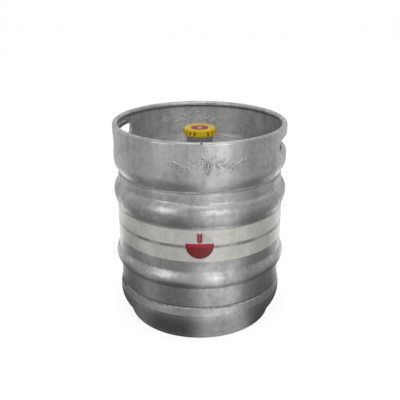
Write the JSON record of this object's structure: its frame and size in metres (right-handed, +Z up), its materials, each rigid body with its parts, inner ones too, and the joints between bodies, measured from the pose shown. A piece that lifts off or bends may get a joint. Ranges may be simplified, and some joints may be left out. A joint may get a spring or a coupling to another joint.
{
  "type": "beer keg",
  "caption": "Upright stainless steel beer keg with rolled chimes, hand holes, rolling ribs, a painted band and a spring-loaded extractor valve under a dust cap.",
  "frame": {"origin": "on the floor under the middle of the keg, at the foot ring's lowest plane", "axes": "+Z up along the keg's axis, hand holes on +X and -X, round sticker towards -Y"},
  "size_m": [0.374, 0.374, 0.44],
  "materials": {
    "barrel_steel": "satin, blotchy",
    "weld_steel": "cleaned weld bead",
    "chime_steel": "satin",
    "band_paint": "satin paint, worn",
    "label_print": "printed sticker",
    "cap_print": "printed disc",
    "cap_plastic": "moulded",
    "fitting_steel": "turned",
    "seal_rubber": "moulded",
    "guide_plastic": "moulded",
    "spring_steel": "drawn wire",
    "ball_steel": "polished"
  },
  "bodies": {
    "keg": {"upper_shell": "barrel_steel", "lower_shell": "barrel_steel", "girth_weld": "weld_steel", "top_chime_weld": "weld_steel", "bottom_chime_weld": "weld_steel", "neck_weld": "weld_steel", "top_chime": "chime_steel", "bottom_chime": "chime_steel", "colour_band": "band_paint", "side_label": "label_print", "neck": "fitting_steel", "spear_body": "fitting_steel", "spear_cage": "fitting_steel", "retaining_ring": "fitting_steel", "neck_seal": "seal_rubber", "tube_guide": "guide_plastic", "main_spring": "spring_steel"},
    "dip_tube": {"spear_tube": "fitting_steel", "tube_collar": "fitting_steel", "main_valve_seal": "seal_rubber", "valve_spring_seat": "fitting_steel", "valve_spring": "spring_steel"},
    "beer_valve": {"valve_ball": "ball_steel"},
    "cap": {"dust_cap": "cap_plastic", "cap_label": "cap_print"}
  },
  "joints": [
    {"name": "tube_slide", "type": "slide", "parent": "keg", "child": "dip_tube", "axis": [0, 0, -1], "range_m": [0, 0.008], "stiffness_N_per_m": 4000, "springref_m": -0.01, "deforming": ["main_spring"]},
    {"name": "valve_slide", "type": "slide", "parent": "dip_tube", "child": "beer_valve", "axis": [0, 0, -1], "range_m": [0, 0.004], "stiffness_N_per_m": 400, "springref_m": -0.006, "deforming": ["valve_spring"]},
    {"name": "cap_lift", "type": "slide", "parent": "keg", "child": "cap", "axis": [0, 0, 1], "range_m": [0, 0.18]}
  ]
}
